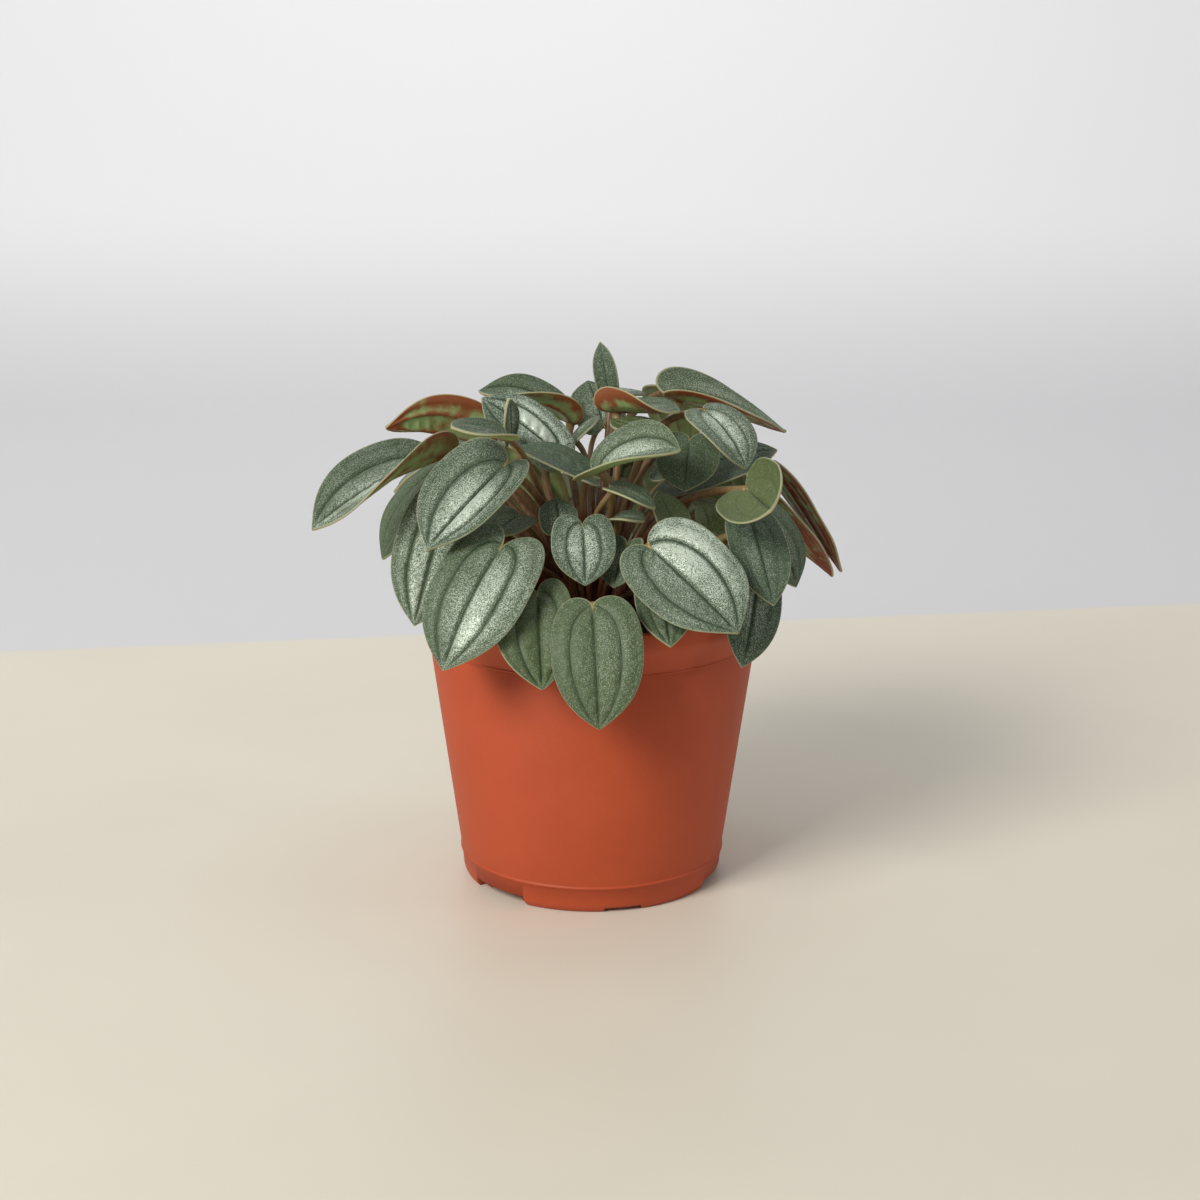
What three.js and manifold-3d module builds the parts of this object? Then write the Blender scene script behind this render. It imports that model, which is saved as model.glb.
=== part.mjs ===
// A potted peperomia: a tapered plastic grower's pot with a flared lip, filled with potting soil,
// and a rosette of heart-shaped leaves on fleshy stalks that rise from one short crown.
// Millimetres, +Z up. The origin is the centre of the pot's foot, and the front faces -Y.

import * as THREE from 'three';
import { mergeVertices } from 'three/addons/utils/BufferGeometryUtils.js';
import Module from 'manifold-3d';

// Pot
const POT_HEIGHT = 90;
const RIM_RADIUS = 53;
const WALL_TOP = { r: 50.0, z: 76.6 };
const WALL_FOOT = { r: 40.7, z: 8.8 };
const WALL_THICKNESS = 1.2;
const FOOT_RADIUS = 38.5;
const FOOT_INNER_RADIUS = 35.4;
const BASE_UNDERSIDE_Z = 3.6;
const BASE_TOP_Z = 5.2;
const POT_SIDES = 46;

// Foot cut-outs, by azimuth in degrees from the front towards +X
const WIDE_CUTS = [-46, 74, 194];
const WIDE_CUT = { recess: 10.4, slot: 6.6, flare: 0.9, height: 3.1, recessFrom: 36.3 };
const SMALL_CUTS = [14, 134, 254];
const SMALL_CUT = { slot: 5.6, flare: 0.6, height: 1.3 };

// Soil and crown
const GAP = 0.35;
const SOIL_EDGE_Z = 78.0;
const SOIL_MIDDLE_Z = 78.5;
const CROWN_RADIUS = 8.6;
const CROWN_FOOT_Z = 70;
const CROWN_TOP_Z = 87;

// Stalks
const STALK_ROOT_Z = 80;
const STALK_ROOT_MAX = 7;
const STALK_RADIUS = 1.3;
const YOUNG_STALK_RADIUS = 0.95;
const STALK_SIDES = 5;
const STALK_STEPS = 6;
const STALK_COURSE = [0.6, 0.15, 0.3, 0];

// Leaf blades
const BLADE_MIDDLE = 1.2;
const BLADE_MARGIN = 0.7;
const YOUNG_LENGTH = 20;
const ROWS = [0, 0.12, 0.25, 0.36, 0.45, 0.58, 0.72, 0.87, 1];
const COLUMNS = [-1, -0.62, -0.28, 0, 0.28, 0.62, 1];
const YOUNG_ROWS = [0, 0.2, 0.45, 0.65, 0.85, 1];
const YOUNG_COLUMNS = [-1, -0.5, 0, 0.5, 1];

const wasm = await Module();
wasm.setup();

const plant = new THREE.Group();

function paint(color, roughness) {
  return new THREE.MeshStandardMaterial({ color, roughness, metalness: 0 });
}

function addPiece(name, geometry, material) {
  geometry.computeVertexNormals();
  const mesh = new THREE.Mesh(geometry, material);
  mesh.name = name;
  plant.add(mesh);
}

// Closed geometry with shared vertices, no flat triangles, and its faces pointing out.
function closed(geometry) {
  const bare = new THREE.BufferGeometry();
  bare.setAttribute('position', geometry.getAttribute('position'));
  bare.setIndex(geometry.getIndex());
  const merged = mergeVertices(bare, 1e-4);
  const position = merged.getAttribute('position');
  const index = merged.getIndex();
  const corner = [new THREE.Vector3(), new THREE.Vector3(), new THREE.Vector3()];
  const kept = [];
  let volume = 0;
  for (let i = 0; i < index.count; i += 3) {
    const [a, b, c] = [index.getX(i), index.getX(i + 1), index.getX(i + 2)];
    if (a === b || b === c || c === a) continue;
    [a, b, c].forEach((v, k) => corner[k].fromBufferAttribute(position, v));
    volume += corner[0].dot(corner[1].clone().cross(corner[2])) / 6;
    kept.push(a, b, c);
  }
  if (volume < 0) kept.reverse();
  merged.setIndex(kept);
  return merged;
}

function toSolid(geometry) {
  const merged = closed(geometry);
  const vertProperties = new Float32Array(merged.getAttribute('position').array);
  const triVerts = new Uint32Array(merged.getIndex().array);
  return new wasm.Manifold(new wasm.Mesh({ numProp: 3, vertProperties, triVerts }));
}

function fromSolid(solid) {
  const mesh = solid.getMesh();
  const geometry = new THREE.BufferGeometry();
  geometry.setAttribute('position', new THREE.BufferAttribute(new Float32Array(mesh.vertProperties), 3));
  geometry.setIndex(new THREE.BufferAttribute(new Uint32Array(mesh.triVerts), 1));
  return geometry;
}

// A profile of [radius, height] pairs turned about the upright axis.
function turned(profile, sides) {
  const points = profile.map(([r, z]) => new THREE.Vector2(r, z));
  return new THREE.LatheGeometry(points, sides).rotateX(Math.PI / 2);
}

// Radius of the pot's inner wall face at a height.
function innerRadius(z) {
  const slope = (WALL_TOP.r - WALL_FOOT.r) / (WALL_TOP.z - WALL_FOOT.z);
  return WALL_FOOT.r + slope * (z - WALL_FOOT.z) - WALL_THICKNESS;
}

// A block with sloping ends, standing across the foot ring at an azimuth, to be cut away.
function footCutter(azimuth, halfWidth, flare, height, from) {
  const shape = new THREE.Shape();
  shape.moveTo(-halfWidth - flare, -1);
  shape.lineTo(halfWidth + flare, -1);
  shape.lineTo(halfWidth, height);
  shape.lineTo(-halfWidth, height);
  shape.closePath();
  const block = new THREE.ExtrudeGeometry(shape, { depth: 46 - from, bevelEnabled: false });
  block.translate(0, 0, from);
  block.rotateX(Math.PI / 2);
  block.rotateZ(THREE.MathUtils.degToRad(azimuth));
  return toSolid(block);
}

// Pot: thin-walled, with a fine raised line above the foot, another under the rim band,
// and a lip that flares out and turns down. The foot is cut out in six places.
function makePot() {
  const profile = [
    [0, BASE_UNDERSIDE_Z],
    [FOOT_INNER_RADIUS, BASE_UNDERSIDE_Z],
    [FOOT_INNER_RADIUS, 0],
    [FOOT_RADIUS, 0],
    [FOOT_RADIUS + 0.8, 0.7],
    [FOOT_RADIUS + 1.5, 2.6],
    [WALL_FOOT.r - 0.2, WALL_FOOT.z - 1.0],
    [WALL_FOOT.r + 0.15, WALL_FOOT.z - 0.6],
    [WALL_FOOT.r, WALL_FOOT.z],
    [WALL_TOP.r, WALL_TOP.z],
    [WALL_TOP.r + 0.35, WALL_TOP.z + 0.3],
    [WALL_TOP.r + 0.7, WALL_TOP.z + 2.9],
    [RIM_RADIUS - 1.6, POT_HEIGHT - 8.4],
    [RIM_RADIUS - 0.5, POT_HEIGHT - 6.6],
    [RIM_RADIUS, POT_HEIGHT - 4.8],
    [RIM_RADIUS, POT_HEIGHT - 0.5],
    [RIM_RADIUS - 0.5, POT_HEIGHT],
    [RIM_RADIUS - 1.6, POT_HEIGHT],
    [RIM_RADIUS - 2.1, POT_HEIGHT - 0.6],
    [innerRadius(WALL_TOP.z) + 0.6, WALL_TOP.z + 3.0],
    [innerRadius(WALL_TOP.z), WALL_TOP.z],
    [innerRadius(BASE_TOP_Z), BASE_TOP_Z],
    [0, BASE_TOP_Z],
  ];
  let pot = toSolid(turned(profile, POT_SIDES));
  for (const azimuth of WIDE_CUTS) {
    const { recess, slot, flare, height, recessFrom } = WIDE_CUT;
    pot = pot.subtract(footCutter(azimuth, recess, 0, height, recessFrom));
    pot = pot.subtract(footCutter(azimuth, slot, flare, height, 30));
  }
  for (const azimuth of SMALL_CUTS) {
    pot = pot.subtract(footCutter(azimuth, SMALL_CUT.slot, SMALL_CUT.flare, SMALL_CUT.height, 30));
  }
  return fromSolid(pot);
}

// Soil: fills the pot to well below the lip, with a plain hole that the crown stands in.
function makeSoil() {
  const holeRadius = CROWN_RADIUS + GAP;
  const holeFloor = CROWN_FOOT_Z - GAP;
  const profile = [
    [0, BASE_TOP_Z + GAP],
    [innerRadius(BASE_TOP_Z + GAP) - GAP, BASE_TOP_Z + GAP],
    [innerRadius(WALL_TOP.z) - GAP, WALL_TOP.z],
    [innerRadius(SOIL_EDGE_Z) - GAP - 0.2, SOIL_EDGE_Z],
    [30, SOIL_EDGE_Z + 0.4],
    [holeRadius, SOIL_MIDDLE_Z],
    [holeRadius, holeFloor],
    [0, holeFloor],
  ];
  return closed(turned(profile, POT_SIDES));
}

// Half outline of a blade, as (half widths from the midrib, lengths from the notch): the round
// lobe behind the notch, then the side that runs to the pointed tip. A leaf's own `lobe` says how
// far its lobes reach back past the notch.
const WIDEST = 0.38;
const LOBE = new THREE.CubicBezierCurve(
  new THREE.Vector2(0, 0),
  new THREE.Vector2(0.1, -0.24),
  new THREE.Vector2(1, -0.34),
  new THREE.Vector2(1, WIDEST),
);
const SIDE = new THREE.CubicBezierCurve(
  new THREE.Vector2(1, WIDEST),
  new THREE.Vector2(1, 0.72),
  new THREE.Vector2(0.55, 0.86),
  new THREE.Vector2(0, 1),
);
const LOBE_SHARE = 0.45;

function outline(t, lobe) {
  if (t < LOBE_SHARE) {
    const place = LOBE.getPoint(t / LOBE_SHARE);
    const forward = WIDEST * (t / LOBE_SHARE) ** 3;
    return place.setY(forward + lobe * (place.y - forward));
  }
  return SIDE.getPoint((t - LOBE_SHARE) / (1 - LOBE_SHARE));
}

// The blade's own axes: along the midrib from notch to tip, out of its upper face, and across.
// A positive roll turns the upper face towards the right-hand side, seen from the notch.
function bladeAxes(notch, tip, roll) {
  const along = tip.clone().sub(notch).normalize();
  const face = new THREE.Vector3(0, 0, 1).addScaledVector(along, -along.z).normalize();
  face.applyAxisAngle(along, roll);
  return { along, face, across: along.clone().cross(face) };
}

// Point of the blade's middle layer and the direction out of its upper face there, for t from
// notch 0 to tip 1 and v from one margin -1 to the other 1. The midrib is an arc of `arch`.
// Across it the blade is an arc of `cup` to each side, deepened towards the notch by `funnel`,
// and bent up at the midrib by `fold`. `lop` makes one half wider than the other, and `twist`
// turns the blade about its midrib, more and more from the tip to the notch.
function bladePoint(blade, t, v) {
  const { notch, tip, axes, width, arch, cup, funnel, fold, lop, twist, lobe } = blade;
  const length = (notch.distanceTo(tip) * arch) / 2 / Math.sin(arch / 2);
  const half = width / 2;
  const edge = outline(t, lobe);
  const u = v * edge.x * (1 + lop * v);
  const g = (1 - Math.abs(v)) * t + Math.abs(v) * edge.y;
  const curve = arch / length;
  const lean = arch / 2 - curve * g * length;
  const deep = cup + funnel * THREE.MathUtils.clamp(1 - g, 0, 1.3) ** 2;
  const bend = Math.abs(deep) < 1e-3 ? 1e-3 : deep;
  const soft = Math.sqrt(u * u + 0.01);
  const side = (Math.sin(bend * u) / bend) * half * Math.cos(fold);
  const rise = ((1 - Math.cos(bend * u)) / bend + (soft - 0.1) * Math.sin(fold)) * half;
  const up = axes.face.clone().multiplyScalar(Math.cos(lean)).addScaledVector(axes.along, -Math.sin(lean));
  const turn = twist * THREE.MathUtils.clamp(1 - g, 0, 1.2);
  const across = axes.across.clone().multiplyScalar(Math.cos(turn)).addScaledVector(up, -Math.sin(turn));
  up.multiplyScalar(Math.cos(turn)).addScaledVector(axes.across, Math.sin(turn));
  const point = notch.clone();
  point.addScaledVector(axes.along, (Math.sin(arch / 2) - Math.sin(lean)) / curve);
  point.addScaledVector(axes.face, (Math.cos(lean) - Math.cos(arch / 2)) / curve);
  point.addScaledVector(up, rise);
  point.addScaledVector(across, side);
  const tilt = bend * u + (fold * u) / soft;
  const normal = up.multiplyScalar(Math.cos(tilt)).addScaledVector(across, -Math.sin(tilt));
  return { point, normal };
}

// Blade: upper and under faces cut into the same triangles, closed by a thin wall at the margin.
function makeBlade(blade) {
  const rows = blade.young ? YOUNG_ROWS : ROWS;
  const columns = blade.young ? YOUNG_COLUMNS : COLUMNS;
  const places = [];
  const grid = rows.map((t, i) => {
    const pole = i === 0 || i === rows.length - 1;
    const line = pole ? [0] : columns;
    const numbers = line.map((v) => {
      const { point, normal } = bladePoint(blade, t, v);
      const half = (pole ? BLADE_MARGIN : BLADE_MIDDLE + (BLADE_MARGIN - BLADE_MIDDLE) * v * v) / 2;
      places.push(...point.clone().addScaledVector(normal, half).toArray());
      places.push(...point.clone().addScaledVector(normal, -half).toArray());
      return places.length / 3 - 2;
    });
    return columns.map((v, j) => numbers[pole ? 0 : j]);
  });
  const triangles = [];
  const face = (a, b, c) => {
    if (a === b || b === c || c === a) return;
    triangles.push(a, b, c, a + 1, c + 1, b + 1);
  };
  const wall = (a, b) => triangles.push(a, b, b + 1, a, b + 1, a + 1);
  const last = columns.length - 1;
  for (let i = 0; i + 1 < rows.length; i++) {
    for (let j = 0; j < last; j++) {
      face(grid[i][j], grid[i][j + 1], grid[i + 1][j + 1]);
      face(grid[i][j], grid[i + 1][j + 1], grid[i + 1][j]);
    }
    wall(grid[i][0], grid[i + 1][0]);
    wall(grid[i + 1][last], grid[i][last]);
  }
  const geometry = new THREE.BufferGeometry();
  geometry.setAttribute('position', new THREE.Float32BufferAttribute(places, 3));
  geometry.setIndex(triangles);
  return closed(geometry);
}

// Stalk: a five-sided tube from the crown to just under the notch. Its course is how far it
// climbs before it leans out, how far it swings inwards under the blade, how far it turns up
// into the blade, and how far it sways sideways.
function makeStalk(blade) {
  const { notch, axes, arch, twist, young, course } = blade;
  const [climb, inwards, turnUp, sway] = course;
  const radius = young ? YOUNG_STALK_RADIUS : STALK_RADIUS;
  const reach = Math.hypot(notch.x, notch.y);
  const outwards = new THREE.Vector3(notch.x / reach, notch.y / reach, 0);
  const sideways = new THREE.Vector3(-outwards.y, outwards.x, 0);
  const up = new THREE.Vector3(0, 0, 1);
  const seat = axes.face.clone().multiplyScalar(Math.cos(arch / 2));
  seat.addScaledVector(axes.along, -Math.sin(arch / 2));
  seat.multiplyScalar(Math.cos(twist)).addScaledVector(axes.across, Math.sin(twist));
  const rise = notch.z - STALK_ROOT_Z;
  const root = new THREE.Vector3(0, 0, STALK_ROOT_Z);
  root.addScaledVector(outwards, Math.min(STALK_ROOT_MAX, 0.15 * reach + 1));
  const first = root.clone().addScaledVector(up, climb * rise);
  first.addScaledVector(outwards, 0.12 * reach).addScaledVector(sideways, sway);
  const into = seat.clone().multiplyScalar(turnUp * rise);
  into.addScaledVector(outwards, inwards * reach).addScaledVector(sideways, -sway);
  const slant = Math.sin(seat.angleTo(into));
  const end = notch.clone().addScaledVector(seat, -BLADE_MIDDLE / 2 - GAP - radius * slant);
  const second = end.clone().sub(into);
  const section = new THREE.Shape();
  for (let k = 0; k < STALK_SIDES; k++) {
    const angle = (2 * Math.PI * k) / STALK_SIDES;
    const x = radius * Math.cos(angle);
    const y = radius * Math.sin(angle);
    if (k === 0) section.moveTo(x, y);
    else section.lineTo(x, y);
  }
  section.closePath();
  const extrudePath = new THREE.CubicBezierCurve3(root, first, second, end);
  return new THREE.ExtrudeGeometry(section, { steps: STALK_STEPS, bevelEnabled: false, extrudePath });
}

const blades = [];

// One leaf: notch and tip in millimetres, width in millimetres, angles in degrees.
function leaf(name, notch, tip, form) {
  const rad = THREE.MathUtils.degToRad;
  const { width, roll = 0, arch = 1e-2, cup = 0, funnel = 0, fold = 0, twist = 0 } = form;
  const { lop = 0, lobe = 1 } = form;
  const blade = { name, width, lop, lobe };
  blade.notch = new THREE.Vector3(...notch);
  blade.tip = new THREE.Vector3(...tip);
  blade.arch = rad(arch);
  blade.cup = rad(cup);
  blade.funnel = rad(funnel);
  blade.fold = rad(fold);
  blade.twist = rad(twist);
  blade.axes = bladeAxes(blade.notch, blade.tip, rad(roll));
  blade.young = blade.notch.distanceTo(blade.tip) < YOUNG_LENGTH;
  blade.course = form.stalk ?? STALK_COURSE;
  blades.push(blade);
}

// Leaves that hang over the front of the lip.
leaf('leaf_front_1', [0, -53, 99], [2, -68, 67],
  { width: 27.5, roll: 7, arch: 39, cup: -24, fold: 12, lop: -0.05, twist: 3, lobe: 0.49,
    stalk: [0.6, 0.05, 0.25, 1] });
leaf('leaf_front_2', [-26, -42, 113], [-42, -61, 82],
  { width: 31, roll: -15, arch: 40, cup: -25, fold: 11, lop: -0.06, twist: -5, lobe: 1.02 });
leaf('leaf_front_3', [16, -40, 113], [41, -60, 93],
  { width: 32, roll: 26, arch: 5, cup: -21, fold: 9, lop: -0.12, twist: 11, lobe: 0.64,
    stalk: [0.6, 0.15, 0.1, 8] });
leaf('leaf_front_4', [-3, -31, 117], [-2, -43, 102],
  { width: 19.5, roll: 2, arch: 20, cup: -9, fold: 15, lop: 0.01 });
leaf('leaf_front_5', [-16, -45, 100], [-14, -63, 77],
  { width: 24, arch: 30, cup: -10, fold: 16, lop: 0.12, stalk: [0.6, 0.15, 0.25, 0] });
leaf('leaf_front_6', [19, -36, 99], [22, -57, 88], { width: 16, arch: 40, stalk: [0.6, 0.15, 0.05, 0] });
leaf('leaf_front_7', [10, -30, 111], [6, -38, 100], { width: 14, arch: 20, cup: 40 });

// Leaves on the left.
leaf('leaf_left_1', [-46, 0, 130], [-81, -34, 116],
  { width: 26.5, roll: -15, arch: 27, cup: 32, funnel: 51, fold: 13, twist: 32, lobe: 0.54,
    stalk: [0.9, 0.35, 0.1, 0] });
leaf('leaf_left_2', [-32, 20, 130], [-63, 8, 138],
  { width: 25.5, roll: 48, arch: 22, cup: 29, funnel: 22, fold: 25, lop: 0.03, twist: -25, lobe: 0.31 });
leaf('leaf_left_3', [-25, -27, 134], [-47, -45, 113],
  { width: 27, roll: -19, arch: 11, cup: -14, funnel: 13, fold: 16, lop: 0.2, twist: -4, lobe: 0.69,
    stalk: [0.8, 0.05, 0.1, -2] });
leaf('leaf_left_4', [-45, 12, 123], [-64, 2, 98], { width: 26, arch: 30, fold: 6 });
leaf('leaf_left_5', [-43, -13, 119], [-52, -33, 87],
  { width: 24, roll: -20, arch: 30, stalk: [0.5, 0.2, 0.1, 0] });
leaf('leaf_left_6', [-26, -31, 143], [-40, -42, 148],
  { width: 16, roll: -10, cup: 15, funnel: 40, stalk: [0.5, 0.45, 0.05, -5] });
leaf('leaf_left_7', [-25, -2, 137], [-25, -9, 150],
  { width: 8, roll: -121, arch: 10, cup: 20, stalk: [0.6, 0.05, 0.05, 3] });
leaf('leaf_left_8', [-41, 4, 107], [-56, 7, 92],
  { width: 22, roll: -8, arch: 40, cup: -5, stalk: [0.5, 0.45, 0.1, 0] });

// Leaves at the top, several of them young and standing up.
leaf('leaf_top_1', [-7, 36, 134], [-36, 36, 144],
  { width: 26.5, roll: -18, arch: 21, cup: 24, funnel: 28, fold: 15, lop: 0.01, twist: 33, lobe: 0.45,
    stalk: [0.6, 0.3, 0.25, -1] });
leaf('leaf_top_2', [-12, 7, 131], [-34, 13, 146],
  { width: 20, roll: -35, arch: 20, fold: 5, stalk: [0.6, 0.2, 0.35, 5] });
leaf('leaf_top_3', [-1, -10, 127], [-23, -7, 135],
  { width: 16, roll: -12, arch: 20, cup: 10, fold: 5, stalk: [0.6, 0.3, 0.15, -1] });
leaf('leaf_top_4', [2, -20, 131], [25, -34, 140], { width: 26, roll: 22, arch: 20, cup: 8, fold: 24 });
leaf('leaf_top_5', [5, 20, 146], [2, 22, 162], { width: 7.5, roll: -65, arch: 20, cup: 20 });
leaf('leaf_top_6', [7, 9, 143], [26, -2, 145],
  { width: 20, roll: 6, arch: 6, cup: 42, funnel: 46, fold: 1, lop: 0.22, twist: -13, lobe: 1.2,
    stalk: [0.6, 0.25, 0.35, -3] });
leaf('leaf_top_7', [6, 38, 143], [16, 44, 142], { width: 14, arch: 20, stalk: [0.5, 0.25, 0.3, 0] });
leaf('leaf_top_8', [3, 52, 130], [-2, 60, 143], { width: 20, arch: 20 });
leaf('leaf_top_9', [-6, 19, 132], [2, 20, 139], { width: 11, arch: 20, stalk: [0.4, 0.1, 0.2, 0] });
leaf('leaf_top_10', [27, 28, 143], [61, 38, 131],
  { width: 24, roll: 4, arch: 6, cup: 18, funnel: 48, fold: 9, lop: -0.17, lobe: 1.12 });
leaf('leaf_top_11', [18, -5, 139], [5, 4, 141],
  { width: 13, roll: -10, arch: 10, cup: 10, stalk: [0.4, 0.35, 0.15, 0] });

// Leaves on the right.
leaf('leaf_right_1', [33, -2, 145], [45, -14, 130],
  { width: 20, roll: 2, arch: 42, cup: 6, funnel: -22, fold: 9, lop: -0.01, twist: 4, lobe: 0.72,
    stalk: [0.8, 0.5, 0.05, 12] });
leaf('leaf_right_2', [29, -1, 136], [27, -13, 123], { width: 19, arch: 20, stalk: [0.85, 0.45, 0.1, 0] });
leaf('leaf_right_3', [23, 9, 122], [56, 9, 131],
  { width: 26, roll: 18, arch: 20, cup: 5, lop: 0.1, stalk: [0.5, 0.4, 0.25, -2] });
leaf('leaf_right_4', [45, -23, 126], [50, -49, 126],
  { width: 25, roll: 45, arch: -30, cup: 50, stalk: [0.9, 0.35, 0.1, 7] });
leaf('leaf_right_5', [56, 27, 123], [80, 39, 85],
  { width: 16.5, roll: 7, arch: 6, cup: 5, funnel: -7, lop: -0.01, twist: -16, lobe: 0.3,
    stalk: [0.8, 0.4, 0.1, 0] });
leaf('leaf_right_6', [55, 23, 114], [77, 37, 84],
  { width: 16, roll: -6, arch: 6, cup: -10, funnel: -2, lop: -0.11, lobe: 0.3,
    stalk: [0.75, 0.45, 0.1, 2] });
leaf('leaf_right_7', [46, -20, 116], [52, -42, 96], { width: 17, roll: 10, arch: 40 });
leaf('leaf_right_8', [49, -4, 115], [61, -10, 93], { width: 22, roll: 15, arch: 40 });
leaf('leaf_right_9', [48, -26, 102], [43, -44, 78], { width: 17, roll: -28, arch: 40 });
leaf('leaf_right_10', [39, -3, 101], [48, 0, 88],
  { width: 20, arch: 40, cup: -5, stalk: [0.6, 0.15, 0.3, 6] });

// Small leaves low down between the stalks.
leaf('leaf_inner_1', [25, -18, 111], [19, -12, 123],
  { width: 14, arch: 10, cup: 20, stalk: [0.6, 0.15, 0.35, 0] });
leaf('leaf_inner_2', [6, -27, 127], [18, -31, 122],
  { width: 14, arch: 20, cup: 20, stalk: [0.7, 0.15, 0.2, -4] });
leaf('leaf_inner_3', [-10, -20, 113], [-11, -14, 121], { width: 12, arch: 20, cup: 20 });
leaf('leaf_inner_4', [-22, -12, 115], [-29, -20, 111],
  { width: 16, roll: -10, arch: 20, cup: 20, stalk: [0.5, 0.05, 0.05, 0] });
leaf('leaf_inner_5', [7, -22, 117], [15, -26, 117], { width: 12, arch: 20, cup: 20 });
leaf('leaf_inner_6', [36, -6, 109], [32, -4, 118], { width: 10, roll: -30, arch: 10, cup: 20 });

// Leaves that hang over the back, and some that stand behind the middle.
leaf('leaf_back_1', [-1, 45, 114], [3, 66, 93],
  { width: 28, roll: 2, arch: 40, cup: 10, stalk: [0.7, 0.2, 0.35, -2] });
leaf('leaf_back_2', [29, 33, 120], [45, 51, 102],
  { width: 27, roll: -21, arch: 40, cup: 5, stalk: [0.6, 0.2, 0.05, 4] });
leaf('leaf_back_3', [-33, 47, 121], [-61, 65, 108],
  { width: 27, roll: -17, arch: 40, cup: 5, stalk: [0.6, 0.25, 0.3, 14] });
leaf('leaf_back_4', [40, 21, 107], [60, 41, 85],
  { width: 26, arch: 40, cup: 5, stalk: [0.6, 0.3, 0.05, 0] });
leaf('leaf_back_5', [-38, 36, 127], [-63, 37, 111],
  { width: 24, arch: 40, cup: 10, stalk: [0.6, 0.05, 0.3, 4] });
leaf('leaf_back_6', [11, 50, 100], [18, 67, 68], { width: 26, arch: 40, cup: -8 });
leaf('leaf_back_7', [-13, 49, 104], [-21, 65, 72],
  { width: 26, arch: 40, cup: -8, stalk: [0.6, 0.05, 0.2, -14] });
leaf('leaf_back_8', [36, 38, 96], [50, 52, 66], { width: 26, arch: 40, cup: -8 });
leaf('leaf_back_9', [-37, 32, 104], [-49, 46, 76], { width: 24, arch: 40, cup: -8 });
leaf('leaf_back_10', [45, 12, 104], [54, 23, 90],
  { width: 17, roll: -3, arch: 40, cup: -5, stalk: [0.6, 0.1, 0.15, 0] });
leaf('leaf_back_11', [-44, 19, 110], [-56, 27, 95],
  { width: 20, arch: 40, cup: -5, stalk: [0.7, 0.15, 0.15, -1] });
leaf('leaf_back_12', [14, 43, 120], [19, 68, 95],
  { width: 22, roll: -17, arch: 30, cup: 10, stalk: [0.6, 0.05, 0.25, 4] });
leaf('leaf_back_13', [-21, 23, 125], [-17, 29, 96],
  { width: 24, roll: -2, arch: 40, cup: 5, stalk: [0.6, 0.15, 0.05, 1] });
leaf('leaf_back_14', [30, 36, 110], [42, 55, 89],
  { width: 22, roll: -4, arch: 40, cup: 5, stalk: [0.5, 0.05, 0.15, -3] });
leaf('leaf_back_15', [23, 49, 142], [30, 65, 118],
  { width: 18, roll: -14, arch: 40, cup: 10, stalk: [0.6, 0.5, 0.05, 8] });

addPiece('pot', makePot(), paint(0xb2512f, 0.6));
addPiece('soil', makeSoil(), paint(0x2e2419, 0.95));

// Crown: a short stub standing in the soil, with every stalk grown out of it.
let crown = toSolid(turned([
  [0, CROWN_FOOT_Z],
  [CROWN_RADIUS, CROWN_FOOT_Z],
  [CROWN_RADIUS, CROWN_TOP_Z - 6],
  [CROWN_RADIUS - 1.2, CROWN_TOP_Z - 3],
  [CROWN_RADIUS - 4.2, CROWN_TOP_Z - 0.6],
  [0, CROWN_TOP_Z],
], 20));
for (const blade of blades) crown = crown.add(toSolid(makeStalk(blade)));
addPiece('crown', fromSolid(crown), paint(0x7a4a35, 0.5));

for (const blade of blades) addPiece(blade.name, makeBlade(blade), paint(0x728c76, 0.45));

export default plant;
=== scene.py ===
import math

import bpy
import numpy as np
from mathutils import Matrix, Vector


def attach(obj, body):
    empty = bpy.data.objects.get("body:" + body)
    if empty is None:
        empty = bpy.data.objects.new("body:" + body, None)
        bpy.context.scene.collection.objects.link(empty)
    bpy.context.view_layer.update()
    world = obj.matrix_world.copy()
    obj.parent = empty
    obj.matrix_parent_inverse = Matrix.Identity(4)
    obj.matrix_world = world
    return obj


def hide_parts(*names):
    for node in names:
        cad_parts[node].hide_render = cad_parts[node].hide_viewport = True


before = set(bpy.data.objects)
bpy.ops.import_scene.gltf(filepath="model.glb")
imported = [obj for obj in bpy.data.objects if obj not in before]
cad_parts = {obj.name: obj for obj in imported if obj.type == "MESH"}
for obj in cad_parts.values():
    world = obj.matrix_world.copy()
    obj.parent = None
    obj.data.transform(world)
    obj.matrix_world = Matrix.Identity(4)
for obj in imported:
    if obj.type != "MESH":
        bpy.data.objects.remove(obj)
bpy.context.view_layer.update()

# ---- The table the plant is photographed on ----
# A sheet of matt card: beige under the plant, pale grey from a line behind it, and swept up into a
# wall far behind. The grey is painted lighter up the wall and darker at its foot, as painted light.
# A soft window-like light stands at the front left, a weak one at the right and one over the wall,
# and the room is pale.


def surface_mesh(name, points, faces, materials, smooth=True):
    """A mesh from an array of points in metres and lists of face corners, with its materials."""
    mesh = bpy.data.meshes.new(name)
    mesh.from_pydata(points.reshape(-1, 3).tolist(), [], faces)
    for material in materials:
        mesh.materials.append(material)
    mesh.polygons.foreach_set("use_smooth", np.full(len(mesh.polygons), smooth))
    piece = bpy.data.objects.new(name, mesh)
    bpy.context.scene.collection.objects.link(piece)
    return piece


def new_finish(name):
    """An empty node material with its Principled shader: (material, node tree, shader)."""
    material = bpy.data.materials.new(name)
    material.use_nodes = True
    tree = material.node_tree
    return material, tree, tree.nodes["Principled BSDF"]


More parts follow.
